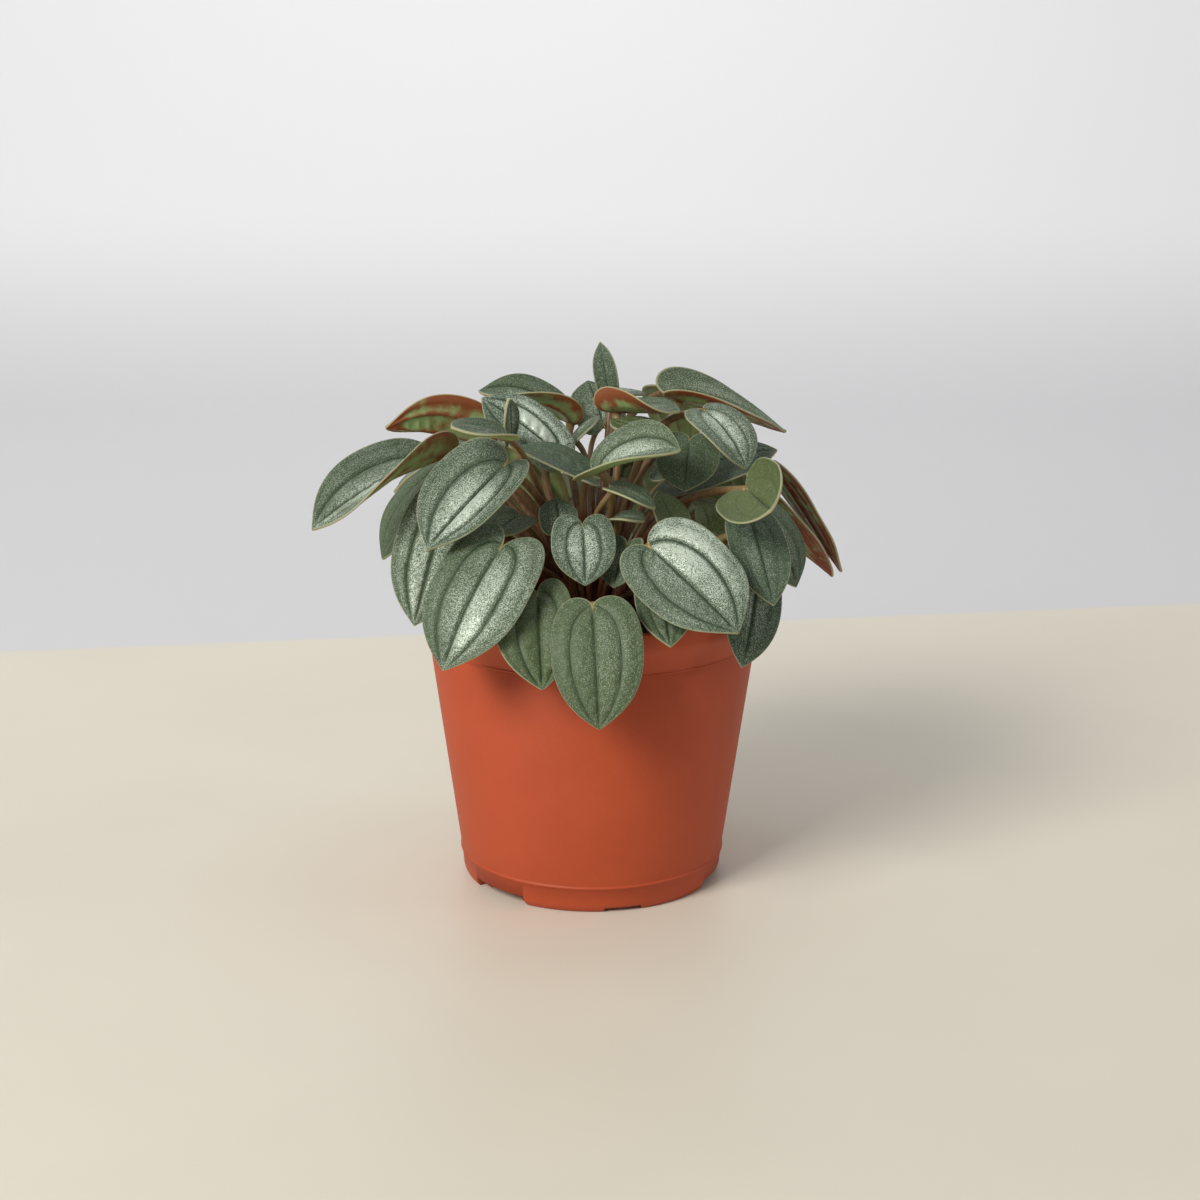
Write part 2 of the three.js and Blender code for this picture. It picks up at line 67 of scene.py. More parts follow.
def put(tree, kind, inputs=(), **settings):
    """A node of that kind with its settings and with numbers or links on its input sockets."""
    node = tree.nodes.new(kind)
    for key, value in settings.items():
        setattr(node, key, value)
    for key, value in dict(inputs).items():
        if isinstance(value, bpy.types.NodeSocket):
            tree.links.new(value, node.inputs[key])
        else:
            node.inputs[key].default_value = value
    return node


def maths(tree, operation, a, b=0.0, clamp=False):
    """The result socket of one sum on two numbers or sockets."""
    node = put(tree, "ShaderNodeMath", {0: a, 1: b}, operation=operation, use_clamp=clamp)
    return node.outputs[0]


def ramp(tree, value, start, end, low=0.0, high=1.0):
    """A smooth step: low where value is start, high where value is end."""
    inputs = {"Value": value, "From Min": start, "From Max": end, "To Min": low, "To Max": high}
    return put(tree, "ShaderNodeMapRange", inputs, interpolation_type="SMOOTHSTEP").outputs["Result"]


def blend_colours(tree, share, first, second):
    """first where share is 0, second where it is 1."""
    first = (*first, 1) if isinstance(first, tuple) else first
    second = (*second, 1) if isinstance(second, tuple) else second
    node = put(tree, "ShaderNodeMix", {0: share, 6: first, 7: second}, data_type="RGBA")
    return node.outputs[2]


def grain(tree, scale, detail=2.0, roughness=0.5, stretch=None):
    """Fractal noise from 0 to 1 on the piece's own place in metres, scale grains to the metre."""
    place = put(tree, "ShaderNodeTexCoord").outputs["Object"]
    if stretch:
        place = put(tree, "ShaderNodeMapping", {"Vector": place, "Scale": stretch}).outputs[0]
    inputs = {"Vector": place, "Scale": scale, "Detail": detail, "Roughness": roughness}
    return put(tree, "ShaderNodeTexNoise", inputs).outputs["Fac"]


def card_finish():
    """Matt card, beige in front of the line where the grey starts and with a faint mottle. The grey
    is painted lighter with height, as painted light on the wall.
    """
    material, tree, shader = new_finish("card")
    place = put(tree, "ShaderNodeTexCoord").outputs["Object"]
    parts = put(tree, "ShaderNodeSeparateXYZ", {0: place}).outputs
    line = maths(tree, "SUBTRACT", parts["Y"], maths(tree, "MULTIPLY", parts["X"], 0.16))
    share = ramp(tree, line, 0.266, 0.272)
    mottle = ramp(tree, grain(tree, 9, 3), 0.3, 0.7)
    beige = blend_colours(tree, mottle, (0.735, 0.690, 0.573), (0.760, 0.714, 0.593))
    # Painted light: the grey is darker at the foot of the wall and lighter higher up, standing for how
    # the light falls on it.
    height = ramp(tree, parts["Z"], -0.03, 0.10)
    grey = blend_colours(tree, height, (0.65, 0.65, 0.665), (0.86, 0.86, 0.87))
    tree.links.new(blend_colours(tree, share, beige, grey), shader.inputs["Base Color"])
    shader.inputs["Roughness"].default_value = 0.42
    shader.inputs["Specular IOR Level"].default_value = 0.35
    return material


def swept_card():
    """A flat sheet from the front that turns up through a quarter circle: width by profile."""
    across = np.linspace(-2.4, 2.4, 9)
    bend = np.linspace(0, math.pi / 2, 25)
    flat = np.stack([np.linspace(-2.2, 0.75, 40), np.zeros(40)], 1)
    curve = np.stack([0.75 + 0.5 * np.sin(bend[1:]), 0.5 - 0.5 * np.cos(bend[1:])], 1)
    upright = np.stack([np.full(5, 1.25), np.linspace(0.6, 2.2, 5)], 1)
    profile = np.concatenate([flat, curve, upright])
    x, k = np.meshgrid(across, np.arange(len(profile)), indexing="ij")
    points = np.stack([x, profile[k, 0], profile[k, 1]], -1)
    n = np.arange(points.shape[0] * points.shape[1]).reshape(points.shape[:2])
    quads = np.stack([n[:-1, :-1], n[1:, :-1], n[1:, 1:], n[:-1, 1:]], -1).reshape(-1, 4)
    return surface_mesh("card_sweep", points, quads.tolist(), [card_finish()])


swept_card()

# The camera stands 0.71 m in front of the pot and looks 15 degrees down, with a lens of 72 mm.
EYE = Vector((0.0, -0.706, 0.280))
PITCH, YAW, ROLL = 0.268, 0.0032, 0.0046
ahead = Vector((math.sin(YAW) * math.cos(PITCH), math.cos(YAW) * math.cos(PITCH), -math.sin(PITCH)))
right = ahead.cross(Vector((0, 0, 1))).normalized()
above = right.cross(ahead)
right, above = (right * math.cos(ROLL) + above * math.sin(ROLL),
                above * math.cos(ROLL) - right * math.sin(ROLL))
camera = bpy.data.objects.new("camera", bpy.data.cameras.new("camera"))
camera.data.lens, camera.data.sensor_width = 72, 36
camera.matrix_world = Matrix.Translation(EYE) @ Matrix((right, above, -ahead)).transposed().to_4x4()
bpy.context.scene.collection.objects.link(camera)
bpy.context.scene.camera = camera
bpy.context.scene.view_settings.view_transform = "Standard"


def soft_light(name, place, target, size, power, colour, spread=180):
    """A square lamp at a place, facing a target: size in metres, power in watts, spread in degrees."""
    lamp = bpy.data.lights.new(name, "AREA")
    lamp.shape, lamp.size, lamp.energy, lamp.color = "SQUARE", size, power, colour
    lamp.spread = math.radians(spread)
    holder = bpy.data.objects.new(name, lamp)
    holder.location = place
    holder.rotation_mode = "QUATERNION"
    holder.rotation_quaternion = (Vector(target) - Vector(place)).to_track_quat("-Z", "Y")
    bpy.context.scene.collection.objects.link(holder)


soft_light("window_light", (-1.05, -1.25, 1.22), (0, 0, 0.09), 0.78, 33.6, (1.0, 0.985, 0.96))
soft_light("side_light", (2.2, -0.3, 0.85), (0, 0, 0.06), 0.6, 5, (1.0, 0.99, 0.98))
soft_light("wall_light", (0.0, 0.45, 1.35), (-0.05, 1.25, 0.08), 0.9, 2.3, (1.0, 0.99, 0.985), 120)
world = bpy.data.worlds.new("pale_room")
world.use_nodes = True
world.node_tree.nodes["Background"].inputs["Color"].default_value = (0.97, 0.975, 1.0, 1)
world.node_tree.nodes["Background"].inputs["Strength"].default_value = 0.31
bpy.context.scene.world = world

# ---- Pot ----
# A thin-walled grower's pot, injection moulded in matt terracotta-coloured plastic. A fine raised
# line runs round above the foot and under the rim band, and the foot ring is cut out in six places.

mm = 0.001
POT_PROFILE = np.array([
    (0, 3.6), (34.9, 3.6), (35.4, 3.3), (35.4, 0.25), (35.65, 0), (36.28, 0), (36.32, 0), (38.3, 0),
    (38.75, 0.2), (39.3, 0.8), (39.75, 1.7), (40.0, 2.6), (40.45, 7.55), (40.72, 7.72), (40.93, 8.0),
    (40.95, 8.25), (40.80, 8.5), (40.62, 8.62), (40.66, 8.9), (49.98, 76.05), (49.88, 76.2),
    (49.9, 76.32), (50.35, 76.42), (50.55, 76.6), (50.55, 76.85), (50.32, 77.0), (50.28, 77.12),
    (50.42, 77.9), (50.7, 79.5), (51.35, 81.6), (52.3, 83.3), (52.85, 84.6),
    (53.0, 85.6), (53.0, 89.3), (52.85, 89.75), (52.4, 90), (51.6, 90), (51.15, 89.8),
    (50.9, 89.2), (50.3, 84), (49.45, 79.6), (48.8, 76.6), (39.2, 6.4), (38.7, 5.4), (38.1, 5.2),
    (0, 5.2)])
FOOT_MIDDLE = 36.3
# Each kind of cut: its turns, half its width inside and outside the foot's middle, and its height.
WIDE_CUT = ((-46, 74, 194), 6.6, 10.4, 3.1)
SMALL_CUT = ((14, 134, 254), 5.6, 5.6, 1.3)


def foot_cut(turn, r):
    """How high the foot ring is cut away, in mm, at turns in degrees from the front and radii r.
    Each cut is a block across the ring, whose height falls to nothing within 0.25 mm of its ends."""
    height = np.zeros(np.broadcast(turn, r).shape)
    for turns, inside, outside, top in (WIDE_CUT, SMALL_CUT):
        for middle in turns:
            off = (turn - middle + 180) % 360 - 180
            aside = np.abs(r * np.sin(np.radians(off)))
            reach = np.where(r > FOOT_MIDDLE, outside, inside)
            share = np.clip((reach + 0.25 - aside) / 0.25, 0, 1) * (np.abs(off) < 40)
            height = np.maximum(height, top * share)
    return height


def pot_surface():
    """The profile turned about the upright axis, its points under a foot cut lifted to its top.
    Turns are close together at the ends of the cuts, and evenly spread elsewhere."""
    ends = [t + s * math.degrees(math.asin(w / r)) for t in WIDE_CUT[0] for w in WIDE_CUT[1:3]
            for r in (35.5, FOOT_MIDDLE, 38.5, 39.8) for s in (-1, 1)]
    ends += [t + s * math.degrees(math.asin(SMALL_CUT[1] / r)) for t in SMALL_CUT[0]
             for r in (35.5, 37, 38.5, 39.8) for s in (-1, 1)]
    near = (np.array(ends)[:, None] + np.array([-0.04, 0.2, 0.42])).ravel()
    near = np.concatenate([near, (np.array(ends)[:, None] - np.array([0.2, 0.42])).ravel()])
    turns = np.unique(np.round(np.concatenate([np.arange(0, 360, 1.5), near % 360]), 2))
    k = np.arange(len(POT_PROFILE))
    turn, row = np.meshgrid(turns, k, indexing="ij")
    r, z = POT_PROFILE[row, 0], POT_PROFILE[row, 1]
    z = np.where((r > 34) & (z < 3.5), np.maximum(z, foot_cut(turn, r)), z)
    angle = np.radians(turn)
    points = np.stack([r * np.sin(angle), -r * np.cos(angle), z], -1) * mm
    n = np.arange(points.shape[0] * points.shape[1]).reshape(points.shape[:2])
    n[:, 0], n[:, -1] = n[0, 0], n[0, -1]
    after = np.roll(n, -1, 0)
    quads = np.stack([n[:, 1:-2], after[:, 1:-2], after[:, 2:-1], n[:, 2:-1]], -1).reshape(-1, 4)
    low = np.stack([n[:, 0], after[:, 1], n[:, 1]], -1)
    high = np.stack([n[:, -2], after[:, -2], n[:, -1]], -1)
    used = np.unique(n)
    compact = np.zeros(n.max() + 1, int)
    compact[used] = np.arange(len(used))
    faces = compact[quads].tolist() + compact[low].tolist() + compact[high].tolist()
    return points.reshape(-1, 3)[used], faces


def terracotta_plastic():
    """Matt orange-brown plastic with a faint mottle, very fine grain and faint paler specks of dust."""
    material, tree, shader = new_finish("terracotta_plastic")
    mottle = ramp(tree, grain(tree, 45, 4, 0.6), 0.3, 0.7)
    colour = blend_colours(tree, mottle, (0.425, 0.066, 0.020), (0.455, 0.073, 0.023))
    dust = ramp(tree, grain(tree, 1400, 2), 0.62, 0.75, 0, 0.08)
    colour = blend_colours(tree, dust, colour, (0.62, 0.20, 0.10))
    tree.links.new(colour, shader.inputs["Base Color"])
    tree.links.new(ramp(tree, mottle, 0, 1, 0.50, 0.56), shader.inputs["Roughness"])
    skin = {"Height": grain(tree, 1800, 2), "Strength": 0.12, "Distance": 0.0002}
    tree.links.new(put(tree, "ShaderNodeBump", skin).outputs[0], shader.inputs["Normal"])
    shader.inputs["Specular IOR Level"].default_value = 0.32
    return material


pot_points, pot_faces = pot_surface()
pot = surface_mesh("growers_pot", pot_points, pot_faces, [terracotta_plastic()])
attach(pot, "root")
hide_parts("pot")

# ---- Soil ----
# Dark peaty potting mix that fills the pot to below the lip, with lumps on top, some crumbs and a
# few pale grains lying loose on it.

SOIL_SIDE = np.array([(0, 5.55), (38.6, 5.55), (48.35, 76.4), (48.5, 77.3)])
SOIL_TOP = 78.4
rng = np.random.default_rng(7)


def lumps(x, y, seed, size, count=60):
    """A sum of plane waves in random directions with wavelengths near a size: values about -1 to 1."""
    waves = np.random.default_rng(seed)
    total = 0
    for _ in range(count):
        angle, phase = waves.uniform(0, 2 * math.pi, 2)
        k = 2 * math.pi / (size * waves.uniform(0.6, 1.8))
        total = total + np.sin(k * (x * math.cos(angle) + y * math.sin(angle)) + phase)
    return total / math.sqrt(count / 2)


def clods(x, y):
    """How far the top of the soil stands up, in mm: waves of about 7 mm and of about 2.6 mm."""
    return 0.75 * lumps(x, y, 3, 7) + 0.45 * lumps(x, y, 4, 2.6)


def turned_shell(points, bottom, top):
    """A grid of turns by rows closed round the upright axis: quads between the rows, and a fan of
    triangles to a bottom and to a top point."""
    n = np.arange(points.shape[0] * points.shape[1]).reshape(points.shape[:2])
    after = np.roll(n, -1, 0)
    quads = np.stack([n[:, :-1], after[:, :-1], after[:, 1:], n[:, 1:]], -1).reshape(-1, 4)
    low = np.stack([np.full(len(n), n.size), after[:, 0], n[:, 0]], -1)
    high = np.stack([np.full(len(n), n.size + 1), n[:, -1], after[:, -1]], -1)
    corners = np.concatenate([points.reshape(-1, 3), [bottom, top]])
    return corners, quads.tolist() + low.tolist() + high.tolist()


def soil_surface():
    """The pot's filling turned about the upright axis, its top lifted by random waves."""
    top_r = np.concatenate([[48.2], np.linspace(47.2, 1.5, 40)])
    r = np.concatenate([SOIL_SIDE[1:, 0], top_r])
    z = np.concatenate([SOIL_SIDE[1:, 1], 78.0 + 0.4 * np.clip((48 - top_r) / 18, 0, 1)])
    turn, row = np.meshgrid(np.arange(0, 360, 2.5), np.arange(len(r)), indexing="ij")
    angle = np.radians(turn)
    x, y = r[row] * np.cos(angle), r[row] * np.sin(angle)
    rise = clods(x, y) * (row > 3) * np.clip((48.2 - r[row]) / 4, 0, 1)
    points = np.stack([x, y, z[row] + rise], -1)
    return turned_shell(points, (0, 0, SOIL_SIDE[0, 1]), (0, 0, SOIL_TOP))


def peat():
    """Dark brown fibrous peat: three browns mixed by noise of several sizes, and very rough."""
    material, tree, shader = new_finish("peat")
    fibres = ramp(tree, grain(tree, 350, 5, 0.7), 0.35, 0.65)
    colour = blend_colours(tree, fibres, (0.012, 0.008, 0.006), (0.050, 0.032, 0.020))
    bits = ramp(tree, grain(tree, 900, 3, 0.6), 0.60, 0.72, 0, 0.7)
    colour = blend_colours(tree, bits, colour, (0.13, 0.085, 0.05))
    tree.links.new(colour, shader.inputs["Base Color"])
    shader.inputs["Roughness"].default_value = 0.95
    fine = {"Height": grain(tree, 700, 5, 0.7), "Strength": 0.8, "Distance": 0.001}
    tree.links.new(put(tree, "ShaderNodeBump", fine).outputs[0], shader.inputs["Normal"])
    return material


soil_points, soil_faces = soil_surface()
soil = surface_mesh("potting_soil", soil_points * mm, soil_faces, [peat()])
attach(soil, "root")
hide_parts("soil")


def crumb_field(count):
    """Loose crumbs: one eight-cornered lump copied to random places on the soil, each with its own
    size, turn and dents, as one array of corners by crumb."""
    corners = np.array([(x, y, z) for x in (-1, 1) for y in (-1, 1) for z in (-1, 1)], float)
    sides = np.array([(0, 1, 3, 2), (4, 6, 7, 5), (0, 4, 5, 1), (2, 3, 7, 6), (0, 2, 6, 4), (1, 5, 7, 3)])
    size = rng.uniform(0.25, 0.95, (count, 1, 1)) ** 1.3
    shape = corners[None] * size * rng.uniform(0.45, 1.1, (count, 1, 3))
    shape = shape * rng.uniform(0.7, 1.2, (count, 8, 3))
    turn = rng.uniform(0, 2 * math.pi, (count, 1))
    x = shape[..., 0] * np.cos(turn) - shape[..., 1] * np.sin(turn)
    y = shape[..., 0] * np.sin(turn) + shape[..., 1] * np.cos(turn)
    r, where = 46 * np.sqrt(rng.uniform(0.05, 1, (count, 1))), rng.uniform(0, 2 * math.pi, (count, 1))
    cx, cy = r * np.cos(where), r * np.sin(where)
    ground = SOIL_TOP + clods(cx, cy)
    points = np.stack([cx + x, cy + y, ground + 0.3 + shape[..., 2]], -1) * mm
    faces = (sides[None] + 8 * np.arange(count)[:, None, None]).reshape(-1, 4)
    return points, faces.tolist()


def crumb_finish():
    """Bark and peat crumbs from near black to tan, with a few off-white grains among them."""
    material, tree, shader = new_finish("soil_crumbs")
    bark = ramp(tree, grain(tree, 260, 1), 0.35, 0.7)
    colour = blend_colours(tree, bark, (0.020, 0.013, 0.009), (0.10, 0.06, 0.035))
    pale = ramp(tree, grain(tree, 130, 0), 0.74, 0.76)
    colour = blend_colours(tree, pale, colour, (0.55, 0.52, 0.45))
    tree.links.new(colour, shader.inputs["Base Color"])
    shader.inputs["Roughness"].default_value = 0.9
    return material


crumb_points, crumb_faces = crumb_field(900)
crumbs = surface_mesh("soil_crumbs", crumb_points, crumb_faces, [crumb_finish()], smooth=False)
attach(crumbs, "root")

# ---- Leaf forms ----
# Heart-shaped blades, each on its own fleshy stalk from the crown. Every leaf is set by the places
# of its notch and its tip in mm, by its width, and by how it arches, cups, folds and leans.


def bezier(corners, s):
    """A cubic curve through four corners: weights (1-s)^3, 3s(1-s)^2, 3s^2(1-s) and s^3."""
    s = np.asarray(s)[..., None]
    a, b, c, d = (np.asarray(corner, float) for corner in corners)
    return (1 - s) ** 3 * a + 3 * s * (1 - s) ** 2 * b + 3 * s ** 2 * (1 - s) * c + s ** 3 * d


def outline(t, reach_back):
    """Half outline of a blade in half widths and lengths: the lobe behind the notch while t is
    under 0.45, which reaches back by its own share, then the side that runs to the tip."""
    corners = [(0, 0), (0.10, -0.24 * reach_back), (1, -0.34 * reach_back), (1, 0.38)]
    lobe = bezier(corners, np.clip(t / 0.45, 0, 1))
    side = bezier([(1, 0.38), (1, 0.72), (0.55, 0.86), (0, 1)], np.clip((t - 0.45) / 0.55, 0, 1))
    return np.where((t < 0.45)[..., None], lobe, side)


def unit(vector):
    """The vector divided by its own length."""
    return vector / np.linalg.norm(vector)


leaves = []


def leaf(name, notch, tip, width, roll=0, arch=0.01, cup=0, funnel=0, fold=0, lop=0, twist=0, lobe=1,
         stalk=(0.6, 0.15, 0.3, 0), silver=0.5, warm=0.3, blush=0.35, painted_highlight=(0, 0.45), ribbed=1):
    """Notes one leaf: places and width in mm, angles in degrees, and its finish as shares near 0
    to 1. The stalk's numbers are how far it climbs, how far it comes from inside and turns up at
    the notch, and its sway in mm. gleam is the place across and along the blade where the silver
    is painted densest, a painted highlight for the light that falls there, and ribbed how deep the
    side veins are. They fade out on narrow blades."""
    notch, tip = np.array(notch, float), np.array(tip, float)
    along = unit(tip - notch)
    face = unit(np.array((0, 0, 1.0)) - along * along[2])
    turn = math.radians(roll)
    face = face * math.cos(turn) + np.cross(along, face) * math.sin(turn)
    arch, cup, funnel, fold = np.radians([arch, cup, funnel, fold])
    chord = np.linalg.norm(tip - notch)
    grown = ribbed * min(1, max(0, (width - 9) / 12))
    leaves.append(dict(
        name=name, notch=notch, along=along, face=face, across=np.cross(along, face),
        half=width / 2, arch=arch, cup=cup, funnel=funnel, fold=fold, lop=lop, lobe=lobe,
        twist=math.radians(twist), stalk=stalk, painted_highlight=painted_highlight, grown=grown,
        length=chord * (arch / 2) / math.sin(arch / 2), young=chord < 20, silver=silver, warm=warm,
        blush=blush))


# Hanging over the front of the lip.
leaf("leaf_front_1", (0, -53, 99), (2, -68, 67), 27.5, roll=7, arch=39, cup=-24, fold=12, lop=-0.05,
     twist=3, lobe=0.49, stalk=(0.6, 0.05, 0.25, 1), silver=0.26, warm=0.5, painted_highlight=(-0.3, 0.55),
     ribbed=0.9)
leaf("leaf_front_2", (-26, -42, 113), (-42, -61, 82), 31, roll=-15, arch=40, cup=-25, fold=11,
     lop=-0.06, twist=-5, lobe=1.02, silver=0.72, warm=0.3, painted_highlight=(-0.3, 0.6))
leaf("leaf_front_3", (16, -40, 113), (41, -60, 93), 32, roll=26, arch=5, cup=-21, fold=9, lop=-0.12,
     twist=11, lobe=0.64, stalk=(0.6, 0.15, 0.1, 8), silver=0.95, warm=0.2, painted_highlight=(-0.5, 0.3))
leaf("leaf_front_4", (-3, -31, 117), (-2, -43, 102), 19.5, roll=2, arch=20, cup=-9, fold=15, lop=0.01,
     silver=0.75, warm=0.1, painted_highlight=(0.1, 0.4))
leaf("leaf_front_5", (-16, -45, 100), (-14, -63, 77), 24, arch=30, cup=-10, fold=16, lop=0.12,
     stalk=(0.6, 0.15, 0.25, 0), silver=0.14, warm=0.6, painted_highlight=(-0.4, 0.4))
leaf("leaf_front_6", (19, -36, 99), (22, -57, 88), 16, arch=40, stalk=(0.6, 0.15, 0.05, 0),
     silver=0.35, warm=0.4)
leaf("leaf_front_7", (10, -30, 111), (6, -38, 100), 14, arch=20, cup=40, silver=0.4, warm=0.35)

# On the left.
leaf("leaf_left_1", (-46, 0, 130), (-81, -34, 116), 26.5, roll=-15, arch=27, cup=32, funnel=51,
     fold=13, twist=32, lobe=0.54, stalk=(0.9, 0.35, 0.1, 0), silver=0.88, warm=0.3, blush=0.75,
     painted_highlight=(-0.3, 0.5), ribbed=0.8)
leaf("leaf_left_2", (-32, 20, 130), (-63, 8, 138), 25.5, roll=48, arch=22, cup=29, funnel=22, fold=25,
     lop=0.03, twist=-25, lobe=0.31, silver=0.5, blush=0.95)
leaf("leaf_left_3", (-25, -27, 134), (-47, -45, 113), 27, roll=-19, arch=11, cup=-14, funnel=13,
     fold=16, lop=0.2, twist=-4, lobe=0.69, stalk=(0.8, 0.05, 0.1, -2), silver=0.8, warm=0.15,
     painted_highlight=(-0.1, 0.6))
leaf("leaf_left_4", (-45, 12, 123), (-64, 2, 98), 26, arch=30, fold=6, silver=0.15, warm=0.35,
     blush=0.7, ribbed=0.6)
leaf("leaf_left_5", (-43, -13, 119), (-52, -33, 87), 24, roll=-20, arch=30, stalk=(0.5, 0.2, 0.1, 0),
     silver=0.75, warm=0.3, painted_highlight=(0.2, 0.6))
leaf("leaf_left_6", (-26, -31, 143), (-40, -42, 148), 16, roll=-10, cup=15, funnel=40,
     stalk=(0.5, 0.45, 0.05, -5), silver=0.3, warm=0.25)
leaf("leaf_left_7", (-25, -2, 137), (-25, -9, 150), 8, roll=-121, arch=10, cup=20,
     stalk=(0.6, 0.05, 0.05, 3), silver=0.7, warm=0.3, blush=0.3)
leaf("leaf_left_8", (-41, 4, 107), (-56, 7, 92), 22, roll=-8, arch=40, cup=-5,
     stalk=(0.5, 0.45, 0.1, 0), silver=0.4)

# At the top, several of them young and standing up.
leaf("leaf_top_1", (-7, 36, 134), (-36, 36, 144), 26.5, roll=-18, arch=21, cup=24, funnel=28, fold=15,
     lop=0.01, twist=33, lobe=0.45, stalk=(0.6, 0.3, 0.25, -1), silver=0.45, warm=0.35, blush=0.95)
leaf("leaf_top_2", (-12, 7, 131), (-34, 13, 146), 20, roll=-35, arch=20, fold=5,
     stalk=(0.6, 0.2, 0.35, 5), silver=1.1, warm=0, painted_highlight=(0.3, 0.3))
leaf("leaf_top_3", (-1, -10, 127), (-23, -7, 135), 16, roll=-12, arch=20, cup=10, fold=5,
     stalk=(0.6, 0.3, 0.15, -1), silver=0.12, warm=0.1, ribbed=0.5)
leaf("leaf_top_4", (2, -20, 131), (25, -34, 140), 26, roll=22, arch=20, cup=8, fold=24, silver=0.75,
     warm=0.45, painted_highlight=(0, 0.4))
leaf("leaf_top_5", (5, 20, 146), (2, 22, 162), 7.5, roll=-65, arch=20, cup=20, silver=0.25, warm=0.2)
leaf("leaf_top_6", (7, 9, 143), (26, -2, 145), 20, roll=6, arch=6, cup=42, funnel=46, fold=1, lop=0.22,
     twist=-13, lobe=1.2, stalk=(0.6, 0.25, 0.35, -3), silver=0.4, warm=0.2, blush=1.2, ribbed=0.3)
leaf("leaf_top_7", (6, 38, 143), (16, 44, 142), 14, arch=20, stalk=(0.5, 0.25, 0.3, 0), silver=0.55)
leaf("leaf_top_8", (3, 52, 130), (-2, 60, 143), 20, arch=20, silver=0.6, ribbed=0.3)
leaf("leaf_top_9", (-6, 19, 132), (2, 20, 139), 11, arch=20, stalk=(0.4, 0.1, 0.2, 0), silver=0.5)
leaf("leaf_top_10", (27, 28, 143), (61, 38, 131), 24, roll=4, arch=6, cup=18, funnel=48, fold=9,
     lop=-0.17, lobe=1.12, silver=0.8, warm=0.45, blush=1.1, ribbed=0.6)
leaf("leaf_top_11", (18, -5, 139), (5, 4, 141), 13, roll=-10, arch=10, cup=10,
     stalk=(0.4, 0.35, 0.15, 0), silver=0.2, warm=0.9, blush=0.1)

# On the right.
leaf("leaf_right_1", (33, -2, 145), (45, -14, 130), 20, roll=2, arch=42, cup=6, funnel=-22, fold=9,
     lop=-0.01, twist=4, lobe=0.72, stalk=(0.8, 0.5, 0.05, 12), silver=0.9, warm=0.2, blush=0.7,
     painted_highlight=(0, 0.35), ribbed=0.55)
leaf("leaf_right_2", (29, -1, 136), (27, -13, 123), 19, arch=20, stalk=(0.85, 0.45, 0.1, 0),
     silver=0.2, warm=0.3, ribbed=0.3)
leaf("leaf_right_3", (23, 9, 122), (56, 9, 131), 26, roll=18, arch=20, cup=5, lop=0.1,
     stalk=(0.5, 0.4, 0.25, -2), silver=0.3, warm=0.15, blush=0.6, ribbed=0.4)
leaf("leaf_right_4", (45, -23, 126), (50, -49, 126), 25, roll=45, arch=-30, cup=50,
     stalk=(0.9, 0.35, 0.1, 7), silver=0.04, warm=1, blush=0.5, ribbed=0.3)
leaf("leaf_right_5", (56, 27, 123), (80, 39, 85), 16.5, roll=7, arch=6, cup=5, funnel=-7, lop=-0.01,
     twist=-16, lobe=0.3, stalk=(0.8, 0.4, 0.1, 0), silver=0.3, blush=1.6)
leaf("leaf_right_6", (55, 23, 114), (77, 37, 84), 16, roll=-6, arch=6, cup=-10, funnel=-2, lop=-0.11,
     lobe=0.3, stalk=(0.75, 0.45, 0.1, 2), silver=0.3, blush=1.6)
leaf("leaf_right_7", (46, -20, 116), (52, -42, 96), 17, roll=10, arch=40, silver=0.3, warm=0.1,
     painted_highlight=(0.2, 0.3), ribbed=0.5)
leaf("leaf_right_8", (49, -4, 115), (61, -10, 93), 22, roll=15, arch=40, silver=0.3, warm=0.2,
     ribbed=0.5)
leaf("leaf_right_9", (48, -26, 102), (43, -44, 78), 17, roll=-28, arch=40, silver=0.42, warm=0.05,
     ribbed=0.3)
leaf("leaf_right_10", (39, -3, 101), (48, 0, 88), 20, arch=40, cup=-5, stalk=(0.6, 0.15, 0.3, 6),
     silver=0.4)

# Small and low down between the stalks.
leaf("leaf_inner_1", (25, -18, 111), (19, -12, 123), 14, arch=10, cup=20, stalk=(0.6, 0.15, 0.35, 0),
     silver=0.1, warm=0.9, blush=0.1, ribbed=0.3)
leaf("leaf_inner_2", (6, -27, 127), (18, -31, 122), 14, arch=20, cup=20, stalk=(0.7, 0.15, 0.2, -4),
     silver=0.3, warm=0.3)
leaf("leaf_inner_3", (-10, -20, 113), (-11, -14, 121), 12, arch=20, cup=20, silver=0.4)
leaf("leaf_inner_4", (-22, -12, 115), (-29, -20, 111), 16, roll=-10, arch=20, cup=20,
     stalk=(0.5, 0.05, 0.05, 0), silver=0.4, warm=0.4, ribbed=0.5)
leaf("leaf_inner_5", (7, -22, 117), (15, -26, 117), 12, arch=20, cup=20, silver=0.4, warm=0.35)
leaf("leaf_inner_6", (36, -6, 109), (32, -4, 118), 10, roll=-30, arch=10, cup=20, silver=0.1, warm=1,
     blush=0.9, ribbed=0.2)

